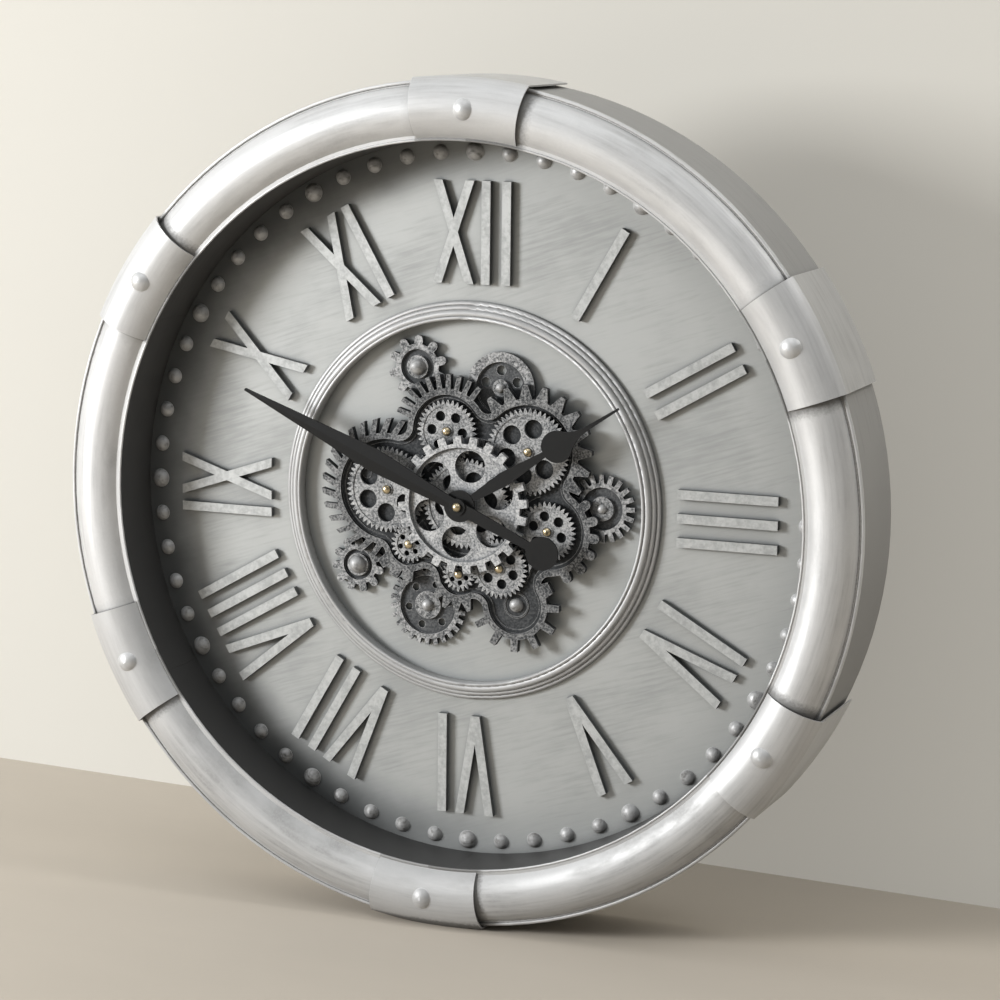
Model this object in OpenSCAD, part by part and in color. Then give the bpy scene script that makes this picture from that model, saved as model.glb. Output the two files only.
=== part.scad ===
// Skeleton wall clock with turning gears: a drum case with a half-round bezel
// and six straps, raised bar numerals, and a cast bed that carries a gear train.
// Front faces -Y, twelve o'clock is +Z, three o'clock is +X. The origin is on the
// hands' axis, half way through the depth. Lengths are in millimetres.

/* [Case] */
// Outside radius of the drum
drum_r = 300; // [200:1:400]
// Thickness of the drum and bezel sheet
sheet = 1.2; // [0.8:0.1:2]
// Distance from the wall to the dial face
dial_h = 32; // [30:1:50]
// Height of the bezel's inner lip above the dial face
lip_h = 46; // [35:1:70]
// Inside radius of the wall around the dial
well_r = 259; // [200:1:280]
// Width of the flat lip inside the bezel's round section
lip_w = 4; // [2.5:0.1:8]
// Rise of the bezel's round section above its two feet
tube_rise = 9; // [7:0.5:11]
// Width of each strap, in degrees round the bezel
strap_deg = 16.4; // [8:0.2:24]
// How far the straps are turned clockwise past the even hours, in degrees
strap_turn = 2.6; // [0:0.1:10]
// Thickness of the straps
strap_t = 1.2; // [0.8:0.1:2]

/* [Dial] */
// Thickness of the dial and of the disc behind the gears
plate_t = 1.2; // [0.8:0.1:2]
// Radius of the ring of rivets
rivet_ring_r = 250; // [180:1:300]
// Head radius of the rivets at the hours
hour_rivet_r = 6.9; // [3:0.1:9]
// Head radius of the rivets at the minutes
minute_rivet_r = 5.7; // [2:0.1:8]
// Radius at the feet of the numerals
numeral_in = 156.5; // [120:0.5:200]
// Radius at the tops of the numerals
numeral_out = 229.5; // [180:0.5:240]
// Width of a numeral's bars
stroke = 6.6; // [3:0.1:12]
// Height of the numerals above the dial
numeral_h = 4.6; // [2:0.1:8]
// Inside radius of the ring moulding
ring_in = 131.4; // [100:0.1:160]

/* [Gear train] */
// Tooth size: pitch diameter over tooth count
module_mm = 1.2; // [0.8:0.05:2]
// Pressure angle of the fine teeth
pressure = 25; // [20:0.5:30]
// Tooth count of the drive wheel on the hands' axis
drive_n = 53; // [40:1:60]
// Tooth count of the top gear
top_n = 36; // [24:1:48]
// Tooth count of the upper right gear
upper_n = 50; // [30:1:60]
// Tooth count of the left gear, which the motor turns
left_n = 50; // [30:1:60]
// Tooth count of the right gear
right_n = 34; // [20:1:48]
// Tooth count of the lower right gear
lower_n = 34; // [20:1:48]
// Tooth count of the bottom pinion
bottom_n = 19; // [14:1:30]
// Tooth count of the lower left pinion
corner_n = 21; // [14:1:30]
// Tooth count of the hidden idler
idler_n = 12; // [12:1:16]
// Thickness of the fine gears
gear_t = 3; // [2:0.1:5]
// Tip radius of the large front wheel
front_tip_r = 49.5; // [40:0.5:60]
// Tooth count of the large front wheel
front_n = 24; // [16:1:36]

/* [Hands] */
// Length of the minute hand from its axis
minute_len = 183; // [120:1:220]
// Length of the hour hand from its axis
hour_len = 141; // [90:1:170]
// Minute hand's angle, clockwise from twelve
minute_deg = 294; // [0:1:360]
// Hour hand's angle, clockwise from twelve
hour_deg = 57; // [0:1:360]

/* [Back] */
// Width of the quartz movement
move_w = 56; // [50:1:60]
// Depth of the quartz movement
move_d = 16; // [12:0.5:20]
// Radius of the keyhole's round end
key_r = 5; // [4:0.5:7]
// Distance from the hands' axis up to the keyhole
key_up = 246; // [150:1:270]

/* [Hidden] */
$fn = 96;
disc_z = dial_h - plate_t;
lip_z = dial_h + lip_h;
// feet of the bezel's round section; the outer foot stands lower
foot_in = well_r + lip_w;
foot_out = drum_r - 2.2;
edge_z = lip_z - 4;
foot_mid = (foot_in + foot_out) / 2;
foot_tilt = atan2(lip_z - edge_z, foot_out - foot_in);
foot_half = norm([foot_out - foot_in, lip_z - edge_z]) / 2;
tube_r = (foot_half * foot_half + tube_rise * tube_rise) / (2 * tube_rise);
tube_c = [foot_mid - (tube_r - tube_rise) * sin(foot_tilt),
    (lip_z + edge_z) / 2 - (tube_r - tube_rise) * cos(foot_tilt)];
// the straps curve a little wider than the bezel and meet their legs at a sharp corner
leg_r = drum_r + 2.2;
leg_foot_z = 0.6;
strap_foot_z = lip_z + 0.15;
strap_crown_r = foot_mid + 1;
strap_half = strap_crown_r - well_r - 2.2;
strap_rise = tube_rise + 0.75;
strap_out = (strap_half * strap_half + strap_rise * strap_rise) / (2 * strap_rise);
strap_in = strap_out - strap_t;
strap_c = [strap_crown_r, strap_foot_z + strap_rise - strap_out];
corner_reach = leg_r + strap_t - strap_crown_r;
corner_z = strap_c[1] + sqrt(strap_out * strap_out - corner_reach * corner_reach);
// rivet heads on the straps: height, ball radius; shank and the tail under the bezel
head_h = 3;
head_ball = (hour_rivet_r * hour_rivet_r + head_h * head_h) / (2 * head_h);
head_top = strap_c[1] + strap_out + head_h;
shank_r = 2.1;
tail_r = 3.4;
tail_z = tube_c[1] + tube_r - sheet - 2.3;
depth = head_top;
// the case rings are made in six lengths that meet under the straps, beside the rivets
ring_n = 6;
ring_gap = 0.02;
// heights of the layers in front of the dial
bed_z = dial_h + 4.8;
floor_z = dial_h + 6.4;
ledge_z = dial_h + 7.4;
gear_z = dial_h + 7.8;
rim_z = dial_h + 10.4;
post_z = gear_z + gear_t + 0.35;
front_z = dial_h + 14;
front_top = dial_h + 18;
hour_z = dial_h + 21.4;
minute_z = dial_h + 24.9;
// centres of the gears
top_c = at(pitch(drive_n) + pitch(top_n), 106.5);
upper_c = at(pitch(drive_n) + pitch(upper_n), 40.6);
left_c = at(pitch(drive_n) + pitch(left_n), 174.4);
lower_c = at(pitch(drive_n) + pitch(lower_n), -60);
right_c = at(64.2, -14.2);
corner_c = left_c + at(pitch(left_n) + pitch(corner_n), -65.7);
bottom_c = lower_c + at(pitch(lower_n) + pitch(bottom_n), 191.8);
idler_c = meet([0, 0], pitch(drive_n) + pitch(idler_n), right_c, pitch(idler_n) + pitch(right_n));
pocket_c = [38.2, -71.3];
// turns that put every gear in mesh at rest
drive_a = 0;
top_a = meshed([0, 0], drive_n, drive_a, top_c, top_n);
upper_a = meshed([0, 0], drive_n, drive_a, upper_c, upper_n);
left_a = meshed([0, 0], drive_n, drive_a, left_c, left_n);
lower_a = meshed([0, 0], drive_n, drive_a, lower_c, lower_n);
idler_a = meshed([0, 0], drive_n, drive_a, idler_c, idler_n);
right_a = meshed(idler_c, idler_n, idler_a, right_c, right_n);
corner_a = meshed(left_c, left_n, left_a, corner_c, corner_n);
bottom_a = meshed(lower_c, lower_n, lower_a, bottom_c, bottom_n);
// lobes of the cast bed, in order round it: centre, radius
lobes = [[top_c, 30.6], [upper_c, 37.8], [right_c, 32], [pocket_c, 24.6],
    [bottom_c, 19.6], [corner_c, 19.8], [left_c, 40.9]];
// fixed gears behind the bed: centre and tip radius
star_c = [-40.9, 95.4];
hoop_c = [23.2, 83.8];
comb_c = [100.9, 2.6];
cog_c = [-86.9, -52];
dish_c = [-31.4, -77.4];
fixed_z = dial_h + 0.8;
fixed_t = 3.6;
// battery box and the wires from it to the motor
box_x = 110;
lead_r = 0.8;
lead_bend_r = 5;
lead_z = 8;

// ---- functions ----

function at(r, a) = [r * cos(a), r * sin(a)];
function pitch(n) = module_mm * n / 2;
function heading(a, b) = atan2(b[1] - a[1], b[0] - a[0]);
function inv(a) = tan(a) * 180 / PI - a;
// turn of a gear at c2 that meshes with a gear at c1 turned by a1
function meshed(c1, n1, a1, c2, n2) =
    let (h = heading(c1, c2)) h + 180 - 180 / n2 + n1 / n2 * (h - a1);
// point at distance ra from a and rb from b, to the left of the line from a to b
function meet(a, ra, b, rb) =
    let (d = norm(b - a), t = acos((ra * ra + d * d - rb * rb) / (2 * ra * d)))
    a + at(ra, heading(a, b) + t);
// half width, in degrees, of an involute tooth at radius r
function half_tooth(n, r) =
    let (rp = pitch(n), rb = rp * cos(pressure), rc = max(r, rb))
    90 / n - 0.11 / rp * 180 / PI + inv(pressure) - inv(acos(rb / rc));
function flank_r(n, i) =
    let (rp = pitch(n), lo = max(rp * cos(pressure), rp - 1.9)) lo + i / 4 * (rp + 1.2 - lo);
function tooth(n) = concat(
    [[pitch(n) - 1.9, -half_tooth(n, 0)]],
    [for (i = [0:4]) [flank_r(n, i), -half_tooth(n, flank_r(n, i))]],
    [for (i = [4:-1:0]) [flank_r(n, i), half_tooth(n, flank_r(n, i))]],
    [[pitch(n) - 1.9, half_tooth(n, 0)]]);

// ---- shared shapes ----

// the face is drawn flat, x to the right, y up, z away from the wall
module face() {
    translate([0, depth / 2, 0])
        rotate([90, 0, 0])
            children();
}

module disc(r, h) {
    cylinder(r = r, h = h);
}

module hoop(r_out, r_in, h) {
    difference() {
        cylinder(r = r_out, h = h);
        translate([0, 0, -1])
            cylinder(r = r_in, h = h + 2);
    }
}

// round-topped head: radius a at its foot, height h
module dome(a, h) {
    r = (a * a + h * h) / (2 * h);
    intersection() {
        translate([0, 0, h - r])
            sphere(r = r);
        cylinder(r = a + 1, h = h + 1);
    }
}

module rounded(w, h, r) {
    square([w - 2 * r, h], center = true);
    square([w, h - 2 * r], center = true);
    for (x = [-1, 1], y = [-1, 1])
        translate([x * (w / 2 - r), y * (h / 2 - r)])
            circle(r = r, $fn = 32);
}

module fine_gear_2d(n) {
    polygon([for (k = [0:n - 1]) for (p = tooth(n)) at(p[0], p[1] + 360 * k / n)]);
}

// spur gear with a sunk web, six round windows and a bore
module fine_gear(n, turn, hole_r, hole_at, hole_a, bore) {
    root = pitch(n) - 1.9;
    difference() {
        rotate(turn)
            linear_extrude(gear_t)
                fine_gear_2d(n);
        translate([0, 0, gear_t - 0.6])
            hoop(root - 1.5, 4.4, 2);
        for (k = [0:5])
            rotate(hole_a + 60 * k)
                translate([hole_at, 0, -1])
                    disc(hole_r, gear_t + 2);
        translate([0, 0, -1])
            disc(bore, gear_t + 2);
    }
}

// flat gear outline with plain bars for teeth
module bar_teeth(n, r_root, r_tip, w_root, w_tip, turn) {
    for (k = [0:n - 1])
        rotate(turn + 360 * k / n)
            polygon([[r_root - 1.5, -w_root / 2], [r_tip, -w_tip / 2],
                [r_tip, w_tip / 2], [r_root - 1.5, w_root / 2]]);
}

// ---- case ----

// ring made of equal lengths that meet under the straps
module lengths() {
    for (k = [0:ring_n - 1])
        rotate(90 - strap_turn + strap_deg / 4 + 360 * k / ring_n)
            rotate_extrude(angle = 360 / ring_n - ring_gap, $fn = 360)
                children();
}

// places of the rivets on the crowns of the straps
module crown_places() {
    for (k = [0:ring_n - 1])
        rotate(90 - strap_turn + 360 * k / ring_n)
            translate([strap_crown_r, 0, 0])
                children();
}

// band of a round section about c between two radii, down to the given heights
module arc_band(c, r_out, r_in, z_in, z_out) {
    r_max = leg_r + strap_t;
    intersection() {
        translate(c)
            difference() {
                circle(r = r_out);
                circle(r = r_in);
            }
        polygon([[well_r - 5, z_in], [c[0], z_in], [c[0], z_out], [r_max, z_out],
            [r_max, lip_z + 40], [well_r - 5, lip_z + 40]]);
    }
}

// the eight screws round the edge of the back panel
module panel_screw_places() {
    for (k = [0:7])
        rotate(22.5 + 45 * k)
            translate([drum_r - 8, 0, 0])
                children();
}

module case_drum() {
    color("DimGray") face() difference() {
        lengths()
            polygon([[drum_r - sheet, 0], [drum_r, 0], [drum_r, edge_z - 1.7],
                [drum_r - sheet, edge_z - 1.7], [drum_r - sheet, 5.4], [drum_r - 14, 5.4],
                [drum_r - 14, 4.2], [drum_r - sheet, 4.2]]);
        panel_screw_places()
            disc(1.7, 20);
    }
}

module bezel_tube() {
    color("Silver") face() difference() {
        lengths() {
            arc_band(tube_c, tube_r, tube_r - sheet, lip_z - sheet, edge_z - sheet);
            translate([well_r + 0.9, lip_z - sheet])
                square([lip_w, sheet]);
            translate([well_r + 0.9, lip_z - 0.3])
                circle(r = 0.9, $fn = 32);
            translate([foot_out - 1.5, edge_z - sheet])
                square([drum_r - foot_out + 1, sheet]);
            translate([drum_r - 0.1, edge_z - 0.4])
                circle(r = 1.4, $fn = 32);
        }
        crown_places()
            disc(shank_r + 0.1, head_top);
    }
}

// plain wall round the dial, from the dial up to the bezel's lip
module inner_wall() {
    color("Gray") face()
        lengths()
            translate([well_r, dial_h])
                square([1, lip_h - sheet - 0.1]);
}

// one strap over the bezel and down the drum, near the given hour
module strap(hour) {
    color("Gainsboro") face() rotate(90 - 30 * hour - strap_turn) difference() {
        rotate(-strap_deg / 2)
            rotate_extrude(angle = strap_deg, $fn = 360)
                strap_section();
        translate([strap_crown_r, 0, 0])
            disc(shank_r + 0.1, head_top);
    }
}

module strap_section() {
    arc_band(strap_c, strap_out, strap_in, strap_foot_z, edge_z - 2);
    translate([leg_r, leg_foot_z])
        square([strap_t, corner_z - 0.2 - leg_foot_z]);
}

module strap_rivets() {
    color("WhiteSmoke") face() {
        difference() {
            crown_places()
                translate([0, 0, head_top - head_ball])
                    sphere(r = head_ball);
            rotate_extrude($fn = 360)
                translate(strap_c)
                    circle(r = strap_out + 0.02);
        }
        crown_places()
            translate([0, 0, tail_z]) {
                disc(shank_r, head_top - 1.2 - tail_z);
                disc(tail_r, 1.2);
            }
    }
}

// ---- dial ----

// places round the rivet ring; the minute set skips the hours
module rivet_places(n, skip) {
    for (k = [0:n - 1])
        if (skip == 0 || k % skip != 0)
            rotate(90 - 360 * k / n)
                translate([rivet_ring_r, 0, 0])
                    children();
}

module dial_rivet(r, h) {
    translate([0, 0, dial_h])
        dome(r, h);
    translate([0, 0, disc_z - 1])
        disc(1.6, plate_t + 2);
    translate([0, 0, disc_z - 1.2])
        disc(2.8, 1.1);
}

module hour_rivets() {
    color("Silver") face()
        rivet_places(12, 0)
            dial_rivet(hour_rivet_r, 4.4);
}

module minute_rivets() {
    color("Silver") face()
        rivet_places(60, 5)
            dial_rivet(minute_rivet_r, 3.8);
}

module dial_plate() {
    color("DarkGray") face() difference() {
        translate([0, 0, disc_z])
            hoop(well_r + 11, ring_in + 1.6, plate_t);
        rivet_places(60, 0)
            disc(1.7, 60);
    }
}

// bar across the band of numerals, leaning from u0 at its foot to u1 at its top
module bar(u0, u1) {
    polygon([[numeral_in, -u0 + stroke / 2], [numeral_in, -u0 - stroke / 2],
        [numeral_out, -u1 - stroke / 2], [numeral_out, -u1 + stroke / 2]]);
}

module glyph_i(u) {
    bar(u, u);
}

module glyph_v(u) {
    bar(u, u - 11.5);
    bar(u, u + 11.5);
}

module glyph_x(u) {
    bar(u - 12.2, u + 12.2);
    bar(u + 12.2, u - 12.2);
}

// turns the glyphs to an hour; u runs clockwise, feet point to the centre
module numeral(hour) {
    color("LightGray") face()
        rotate(90 - 30 * hour)
            translate([0, 0, dial_h])
                linear_extrude(numeral_h)
                    children();
}

module numeral_1() {
    numeral(1)
        glyph_i(0);
}

module numeral_2() {
    numeral(2) {
        glyph_i(-8.5);
        glyph_i(8.5);
    }
}

module numeral_3() {
    numeral(3) {
        glyph_i(-17);
        glyph_i(0);
        glyph_i(17);
    }
}

module numeral_4() {
    numeral(4) {
        glyph_i(-19);
        glyph_v(6.5);
    }
}

module numeral_5() {
    numeral(5)
        glyph_v(0);
}

module numeral_6() {
    numeral(6) {
        glyph_v(-6.5);
        glyph_i(19);
    }
}

module numeral_7() {
    numeral(7) {
        glyph_v(-15);
        glyph_i(10.5);
        glyph_i(26);
    }
}

module numeral_8() {
    numeral(8) {
        glyph_v(-23);
        glyph_i(2.5);
        glyph_i(18);
        glyph_i(33.5);
    }
}

module numeral_9() {
    numeral(9) {
        glyph_i(-18.5);
        glyph_x(6);
    }
}

module numeral_10() {
    numeral(10)
        glyph_x(0);
}

module numeral_11() {
    numeral(11) {
        glyph_x(-6);
        glyph_i(18.5);
    }
}

module numeral_12() {
    numeral(12) {
        glyph_x(-14);
        glyph_i(10.5);
        glyph_i(26);
    }
}

// stepped ring of four beads rising towards the centre
module inner_ring() {
    color("Silver") face()
        rotate_extrude($fn = 360) {
            polygon([[ring_in, disc_z], [ring_in + 1.4, disc_z], [ring_in + 1.4, dial_h],
                [ring_in + 12.6, dial_h], [ring_in + 12.6, dial_h + 1.6],
                [ring_in + 9.6, dial_h + 2.2], [ring_in + 6.6, dial_h + 5],
                [ring_in + 2.6, dial_h + 6.6], [ring_in + 1.6, dial_h + 7.6],
                [ring_in, dial_h + 7.8]]);
            translate([ring_in + 11, dial_h + 1.8])
                circle(r = 1.75, $fn = 48);
            translate([ring_in + 7.9, dial_h + 3.6])
                circle(r = 2, $fn = 48);
            translate([ring_in + 4.2, dial_h + 5.4])
                circle(r = 2.7, $fn = 48);
            translate([ring_in + 1.25, dial_h + 7.6])
                circle(r = 1.25, $fn = 48);
        }
}

module backdrop_disc() {
    color("LightGray") face() difference() {
        translate([0, 0, disc_z - plate_t])
            disc(ring_in + 9, plate_t);
        disc(4.2, 60);
        translate([left_c[0], left_c[1], 0])
            disc(4.2, 60);
        motor_screw_places()
            disc(1.6, 60);
    }
}

// ---- cast bed and the fixed gears ----

// outline of the merged lobes, drawn in by the given amount
module lobe_outline(inset, fillet) {
    for (l = lobes)
        translate(l[0])
            circle(r = l[1] - inset, $fn = 120);
    circle(r = 44 - inset);
    translate(lower_c)
        circle(r = 27 - inset);
    translate(idler_c)
        circle(r = 13.5 - inset);
    for (k = [0:6])
        valley(lobes[k], lobes[(k + 1) % 7], inset, fillet);
}

// fills the corner between two lobes with a round valley
module valley(a, b, inset, fillet) {
    c = meet(a[0], a[1] + fillet, b[0], b[1] + fillet);
    difference() {
        polygon([a[0], c, b[0]]);
        translate(c)
            circle(r = fillet + inset, $fn = 64);
    }
}

module placed(c) {
    translate([c[0], c[1], 0])
        children();
}

// outward teeth of one lobe: first angle, step, count
module lobe_teeth(c, a0, step, n, r0, r1, w0, w1, skew = 0) {
    translate(c)
        for (k = [0:n - 1])
            rotate(a0 + step * k)
                polygon([[r0 - 2, -w0 / 2], [r1, skew - w1 / 2], [r1, skew + w1 / 2], [r0 - 2, w0 / 2]]);
}

module round_teeth(c, a0, step, n, r0, r1, w) {
    translate(c)
        for (k = [0:n - 1])
            rotate(a0 + step * k) {
                translate([r0 - 2, -w / 2])
                    square([r1 - r0 + 2 - w / 2, w]);
                translate([r1 - w / 2, 0])
                    circle(r = w / 2, $fn = 32);
            }
}

module bed_teeth() {
    lobe_teeth(top_c, 53, 12, 10, 30.6, 40.8, 4, 3.2);
    lobe_teeth(upper_c, -34, 18.2, 10, 37.8, 47.6, 10.5, 3.4);
    lobe_teeth(left_c, 84, 12, 16, 40.9, 51, 5.2, 4, -6.4);
    round_teeth(right_c, -65, 20.3, 6, 31.6, 39, 6.6);
    lobe_teeth(pocket_c, -151, 30.4, 6, 24.6, 33.6, 5.6, 4.8);
    lobe_teeth(pocket_c, 30, 10, 1, 24.6, 31, 11, 8.5);
    lobe_teeth(corner_c, 216, 26, 3, 19.8, 27.4, 9, 7);
    lobe_teeth(bottom_c, 224, 21, 4, 19.6, 27.6, 8.6, 2.6);
}

module gear_bed() {
    color("SlateGray") face() difference() {
        union() {
            translate([0, 0, bed_z])
                linear_extrude(floor_z - bed_z)
                    lobe_outline(0, 7);
            translate([0, 0, bed_z])
                linear_extrude(ledge_z - bed_z)
                    difference() {
                        lobe_outline(0, 7);
                        lobe_outline(7, 7);
                    }
            translate([0, 0, bed_z])
                linear_extrude(rim_z - bed_z) {
                    difference() {
                        union() {
                            lobe_outline(0, 7);
                            bed_teeth();
                        }
                        lobe_outline(4.2, 7);
                    }
                }
            placed([0, 0])
                translate([0, 0, bed_z])
                    disc(8, gear_z - 0.8 - bed_z);
            for (p = bed_feet())
                placed(p)
                    translate([0, 0, disc_z])
                        disc(3.5, 8);
            placed(pocket_c)
                translate([0, 0, bed_z])
                    hoop(9.5, 8.3, 2.2);
        }
        disc(4.2, 60);
        for (c = [top_c, upper_c, right_c, lower_c, bottom_c, corner_c, idler_c])
            placed(c)
                disc(2.1, 60);
        placed(left_c)
            disc(3.2, 60);
        placed(pocket_c)
            disc(1.9, 60);
    }
}

function bed_feet() = [at(26, 0), at(26, 120), at(26, 240), left_c + at(20, 150),
    upper_c + at(20, 30), right_c + [3, -14]];

module fixed_boss(r) {
    translate([0, 0, disc_z])
        disc(r, fixed_z - disc_z + 1);
}

// ten rounded teeth, sunk centre
module star_gear() {
    color("Gray") face() placed(star_c) difference() {
        union() {
            translate([0, 0, fixed_z])
                linear_extrude(fixed_t) {
                    circle(r = 16.4);
                    round_teeth([0, 0], 16, 36, 10, 16.4, 22.6, 6.2);
                }
            fixed_boss(8.2);
        }
        translate([0, 0, fixed_z + 1.2])
            hoop(12.8, 8.2, 5);
        translate([0, 0, -1])
            disc(1.9, 60);
    }
}

// plain ring with a pierced centre disc
module hoop_ring() {
    color("Gray") face() placed(hoop_c) difference() {
        union() {
            translate([0, 0, fixed_z])
                disc(25.6, fixed_t);
            fixed_boss(6);
        }
        translate([0, 0, fixed_z + 1.2])
            hoop(18.6, 6, 5);
        for (k = [0:4])
            rotate(20 + 72 * k)
                translate([12.4, 0, 0])
                    disc(3.6, 60);
        translate([0, 0, -1])
            disc(1.9, 60);
    }
}

// ring with many narrow teeth and a wide dark dish
module comb_gear() {
    color("Gray") face() placed(comb_c) difference() {
        union() {
            translate([0, 0, fixed_z])
                linear_extrude(fixed_t) {
                    circle(r = 18.2);
                    bar_teeth(20, 18.2, 24.4, 3.5, 3.2, 2);
                }
            fixed_boss(8.6);
        }
        translate([0, 0, fixed_z + 1.2])
            hoop(15.4, 8.6, 5);
        translate([0, 0, -1])
            disc(1.9, 60);
    }
}

// eleven rounded teeth and a large dome
module cog_gear() {
    color("Gray") face() placed(cog_c) difference() {
        union() {
            translate([0, 0, fixed_z])
                linear_extrude(fixed_t) {
                    circle(r = 14.6);
                    round_teeth([0, 0], 22, 360 / 11, 11, 14.6, 20.4, 5.6);
                }
            fixed_boss(8.2);
        }
        translate([0, 0, fixed_z + 1.2])
            hoop(11.4, 8.2, 5);
        translate([0, 0, -1])
            disc(1.9, 60);
    }
}

// toothed ring with a pierced dish and a hub ring
module dish_gear() {
    color("Gray") face() placed(dish_c) difference() {
        union() {
            translate([0, 0, fixed_z])
                linear_extrude(fixed_t) {
                    circle(r = 25);
                    bar_teeth(26, 25, 29.4, 3.6, 3, 6);
                }
            fixed_boss(10);
        }
        translate([0, 0, fixed_z + 1.2])
            hoop(21.6, 10, 5);
        for (k = [0:5])
            rotate(10 + 60 * k)
                translate([15.8, 0, 0])
                    disc(2.8, 60);
        translate([0, 0, -1])
            disc(1.9, 60);
    }
}

// domed rivet: head radius, foot height of the head, height of the shank's lower end
module stud(a, h, z, z0) {
    translate([0, 0, z])
        dome(a, h);
    translate([0, 0, z0])
        disc(1.8, z - z0 + 0.5);
}

module dome_rivets() {
    color("Silver") face() {
        placed(star_c)
            stud(6, 5, fixed_z + fixed_t, disc_z);
        placed(hoop_c)
            stud(3.6, 3.2, fixed_z + fixed_t, disc_z);
        placed(comb_c)
            stud(3.4, 3, fixed_z + fixed_t, disc_z);
        placed(cog_c)
            stud(6.4, 5.4, fixed_z + fixed_t, disc_z);
        placed(dish_c)
            stud(4.4, 4, fixed_z + fixed_t, disc_z);
        placed(pocket_c)
            stud(5.2, 4.6, floor_z, bed_z - 2);
    }
}

// ---- turning gears ----

// brass pins that the gears turn on, with domed heads
module gear_posts() {
    color("Goldenrod") face()
        for (c = [top_c, upper_c, right_c, lower_c, bottom_c, corner_c, idler_c])
            placed(c) {
                translate([0, 0, bed_z - 1])
                    disc(2, post_z - bed_z + 1.5);
                translate([0, 0, floor_z])
                    disc(4, 1);
                translate([0, 0, bed_z - 1.2])
                    disc(3, 1.1);
                translate([0, 0, post_z])
                    disc(3, 0.8);
                translate([0, 0, post_z + 0.8])
                    dome(3, 1.5);
            }
}

module gear_at(c, n, turn, hole_r, hole_at, hole_a, bore = 2.05) {
    color("SlateGray") face() placed(c)
        translate([0, 0, gear_z])
            fine_gear(n, turn, hole_r, hole_at, hole_a, bore);
}

module top_gear() {
    gear_at(top_c, top_n, top_a, 3.7, 11.8, 56);
}

module upper_right_gear() {
    gear_at(upper_c, upper_n, upper_a, 6.9, 17, 17);
}

module left_gear() {
    gear_at(left_c, left_n, left_a, 6.9, 17, 28, 2);
}

module right_gear() {
    gear_at(right_c, right_n, right_a, 3.7, 11.2, 42);
}

module lower_right_gear() {
    gear_at(lower_c, lower_n, lower_a, 3.7, 11.2, 40);
}

module bottom_pinion() {
    gear_at(bottom_c, bottom_n, bottom_a, 1.9, 6.2, 38);
}

module lower_left_pinion() {
    gear_at(corner_c, corner_n, corner_a, 2, 6.9, 16);
}

module idler_gear() {
    color("SlateGray") face() placed(idler_c)
        translate([0, 0, gear_z])
            difference() {
                rotate(idler_a)
                    linear_extrude(gear_t)
                        fine_gear_2d(idler_n);
                translate([0, 0, -1])
                    disc(2.05, gear_t + 2);
            }
}

// fine wheel on the hands' axis, with the sleeve that carries the front wheel
module drive_wheel() {
    color("SlateGray") face() difference() {
        union() {
            translate([0, 0, gear_z])
                fine_gear(drive_n, drive_a, 6.8, 17.5, 10, 3);
            translate([0, 0, gear_z - 0.4])
                disc(6.5, front_top - gear_z + 0.4);
            translate([0, 0, gear_z])
                disc(8.5, front_z - gear_z - 0.02);
        }
        disc(4.05, 80);
    }
}

module front_wheel() {
    color("LightSlateGray") face() difference() {
        union() {
            translate([0, 0, front_z])
                linear_extrude(front_top - front_z) {
                    circle(r = 44, $fn = 180);
                    bar_teeth(front_n, 44, front_tip_r, 6.6, 5.6, 5);
                }
        }
        translate([0, 0, front_top - 2.8])
            hoop(41.3, 9.5, 5);
        for (k = [0:5])
            rotate(20 + 60 * k)
                translate([28, 0, 0])
                    disc(11.6, 80);
        disc(6.52, 80);
    }
}

// ---- hands ----

// sloping sides for a hand that lies along +x
module ridge(len_f, len_b, half, edge, top) {
    translate([-len_b, 0, 0])
        rotate([90, 0, 90])
            linear_extrude(len_b + len_f)
                polygon([[-half, 0], [half, 0], [half, edge], [0, top], [-half, edge]]);
}

module minute_blade() {
    polygon([[0, -4.4], [14, -4.6], [72, -8.6], [minute_len, -0.8], [minute_len, 0.8],
        [72, 8.6], [14, 4.6], [0, 4.4]]);
}

module minute_tail() {
    polygon([[4, -4.4], [4, 4.4], [-22, 4.2], [-62, 2.8], [-62, -2.8], [-22, -4.2]]);
}

module minute_hand() {
    color("Black") face() {
        rotate(90 - minute_deg)
            translate([0, 0, minute_z])
                difference() {
                    union() {
                        intersection() {
                            ridge(minute_len, 0, 9, 0.9, 2.6);
                            linear_extrude(4)
                                minute_blade();
                        }
                        linear_extrude(1.7)
                            minute_tail();
                        translate([-70.5, 0, 0])
                            disc(12, 1.7);
                        disc(6, 2.6);
                    }
                    translate([0, 0, 2.6])
                        disc(7, 3);
                }
        translate([0, 0, 17])
            disc(1.7, minute_z + 4.4 - 17);
    }
}

// round spade drawn out to a point, on a leaf-shaped stem
module hour_blade() {
    polygon([[0, -3.4], [12, -2.6], [40, -5.2], [78, -2], [78, 2], [40, 5.2], [12, 2.6], [0, 3.4]]);
    translate([87, 0])
        circle(r = 11.4);
    polygon([[98, -3], [116, -1.5], [hour_len, -0.8], [hour_len, 0.8], [116, 1.5], [98, 3]]);
    for (s = [-1, 1])
        hour_shoulder(s);
}

// hollow shoulder between the spade and its point
module hour_shoulder(s) {
    c = [112, s * 27.5];
    r = norm(c - [87, 0]) - 11.4;
    difference() {
        polygon([[87, 0], c, [112, 0]]);
        translate(c)
            circle(r = r);
    }
}

module hour_hand() {
    color("Black") face() difference() {
        union() {
            rotate(90 - hour_deg)
                translate([0, 0, hour_z])
                    linear_extrude(1.6)
                        hour_blade();
            translate([0, 0, hour_z])
                disc(11.5, 2);
            translate([0, 0, 19])
                disc(2.6, hour_z - 18);
        }
        disc(1.75, 80);
    }
}

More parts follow.
